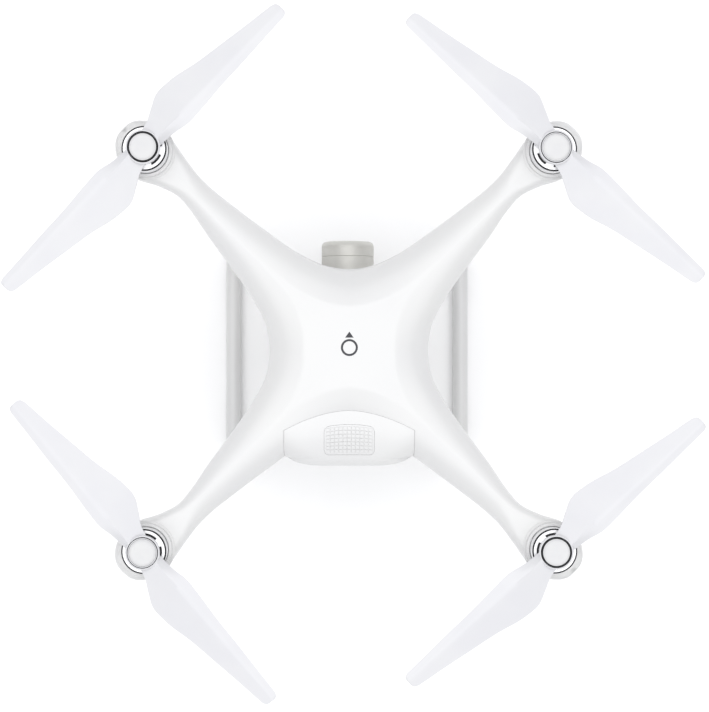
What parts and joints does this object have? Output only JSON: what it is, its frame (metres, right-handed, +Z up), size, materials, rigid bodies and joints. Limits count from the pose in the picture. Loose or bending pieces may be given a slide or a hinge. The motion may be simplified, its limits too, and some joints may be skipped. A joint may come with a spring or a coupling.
{
  "type": "quadcopter drone",
  "caption": "Camera quadcopter with an X-shaped hollow shell, two-blade propellers, a three-axis gimbal camera, a slide-in battery and fixed landing skids.",
  "frame": {"origin": "on the ground, under the middle of the four motors", "axes": "+Z up, the nose with the camera points to -Y, the craft's left side is +X"},
  "size_m": [0.427, 0.4239, 0.196],
  "materials": {
    "shell": "gloss white moulding",
    "propeller": "satin moulding",
    "dark_plastic": "satin",
    "motor_metal": "satin turned",
    "lock_black": "satin",
    "lock_silver": "satin",
    "camera_grey": "bead blasted and anodised",
    "lens_glass": "coated",
    "rubber": "matte",
    "board": "solder mask",
    "cell_wrap": "shrink wrap",
    "core_metal": "cast",
    "red_light": "clear lens",
    "green_light": "clear lens"
  },
  "bodies": {
    "airframe": {"top_shell": "shell", "bottom_shell": "shell", "front_vision_lens_left": "lens_glass", "front_vision_lens_right": "lens_glass", "arm_light_front_left": "red_light", "arm_light_front_right": "red_light", "arm_light_rear_left": "green_light", "arm_light_rear_right": "green_light", "battery_bay": "dark_plastic", "battery_connector": "dark_plastic", "main_board": "board", "satellite_module": "dark_plastic", "core_frame": "core_metal", "motor_stator_front_left": "motor_metal", "motor_stator_front_right": "motor_metal", "motor_stator_rear_left": "motor_metal", "motor_stator_rear_right": "motor_metal", "landing_gear_left": "shell", "landing_gear_right": "shell", "landing_pad_front_left": "rubber", "landing_pad_front_right": "rubber", "landing_pad_rear_left": "rubber", "landing_pad_rear_right": "rubber", "downward_sensor_plate": "dark_plastic", "downward_lens_left": "lens_glass", "downward_lens_right": "lens_glass", "ultrasonic_sensor_left": "core_metal", "ultrasonic_sensor_right": "core_metal", "gimbal_mount_board": "dark_plastic", "gimbal_plate": "camera_grey", "gimbal_damper_front_left": "rubber", "gimbal_damper_front_right": "rubber", "gimbal_damper_rear_left": "rubber", "gimbal_damper_rear_right": "rubber", "gimbal_yaw_motor": "camera_grey"},
    "rotor_front_left": {"motor_bell_front_left": "motor_metal", "propeller_lock_front_left": "lock_black", "propeller_front_left": "propeller"},
    "rotor_front_right": {"motor_bell_front_right": "motor_metal", "propeller_lock_front_right": "lock_silver", "propeller_front_right": "propeller"},
    "rotor_rear_left": {"motor_bell_rear_left": "motor_metal", "propeller_lock_rear_left": "lock_silver", "propeller_rear_left": "propeller"},
    "rotor_rear_right": {"motor_bell_rear_right": "motor_metal", "propeller_lock_rear_right": "lock_black", "propeller_rear_right": "propeller"},
    "gimbal_yaw_part": {"gimbal_yaw_arm": "camera_grey", "gimbal_roll_motor": "camera_grey"},
    "gimbal_roll_part": {"gimbal_roll_arm": "camera_grey", "gimbal_pitch_motor": "camera_grey"},
    "camera": {"camera_body": "camera_grey", "camera_lens_shroud": "camera_grey", "camera_lens_glass": "lens_glass"},
    "battery": {"battery_case": "shell", "battery_cells": "cell_wrap", "charge_light_ring": "green_light"},
    "latch_top": {"battery_latch_top": "shell"},
    "latch_bottom": {"battery_latch_bottom": "shell"},
    "power_button": {"battery_button": "core_metal"}
  },
  "joints": [
    {"name": "rotor_front_left_spin", "type": "hinge", "parent": "airframe", "child": "rotor_front_left", "pos_m": [0.125, -0.1225, 0.1905], "axis": [0, 0, 1], "continuous": true},
    {"name": "rotor_front_right_spin", "type": "hinge", "parent": "airframe", "child": "rotor_front_right", "pos_m": [-0.125, -0.1225, 0.1905], "axis": [0, 0, 1], "continuous": true},
    {"name": "rotor_rear_left_spin", "type": "hinge", "parent": "airframe", "child": "rotor_rear_left", "pos_m": [0.125, 0.1225, 0.1905], "axis": [0, 0, 1], "continuous": true},
    {"name": "rotor_rear_right_spin", "type": "hinge", "parent": "airframe", "child": "rotor_rear_right", "pos_m": [-0.125, 0.1225, 0.1905], "axis": [0, 0, 1], "continuous": true},
    {"name": "gimbal_yaw", "type": "hinge", "parent": "airframe", "child": "gimbal_yaw_part", "pos_m": [0, -0.024, 0.08], "axis": [0, 0, 1], "range_deg": [-30, 30]},
    {"name": "gimbal_roll", "type": "hinge", "parent": "gimbal_yaw_part", "child": "gimbal_roll_part", "pos_m": [0, -0.024, 0.058], "axis": [0, 1, 0], "range_deg": [-30, 30]},
    {"name": "gimbal_pitch", "type": "hinge", "parent": "gimbal_roll_part", "child": "camera", "pos_m": [0.02, -0.05, 0.058], "axis": [1, 0, 0], "range_deg": [-30, 90]},
    {"name": "battery_slide", "type": "slide", "parent": "airframe", "child": "battery", "axis": [0, 1, 0], "range_m": [0, 0.11]},
    {"name": "battery_latch_top_press", "type": "slide", "parent": "battery", "child": "latch_top", "axis": [0, 0, -1], "range_m": [0, 0.0015], "stiffness_N_per_m": 800},
    {"name": "battery_latch_bottom_press", "type": "slide", "parent": "battery", "child": "latch_bottom", "axis": [0, 0, 1], "range_m": [0, 0.0015], "stiffness_N_per_m": 800},
    {"name": "power_button_press", "type": "slide", "parent": "battery", "child": "power_button", "axis": [0, -1, 0], "range_m": [0, 0.0008], "stiffness_N_per_m": 1500}
  ]
}
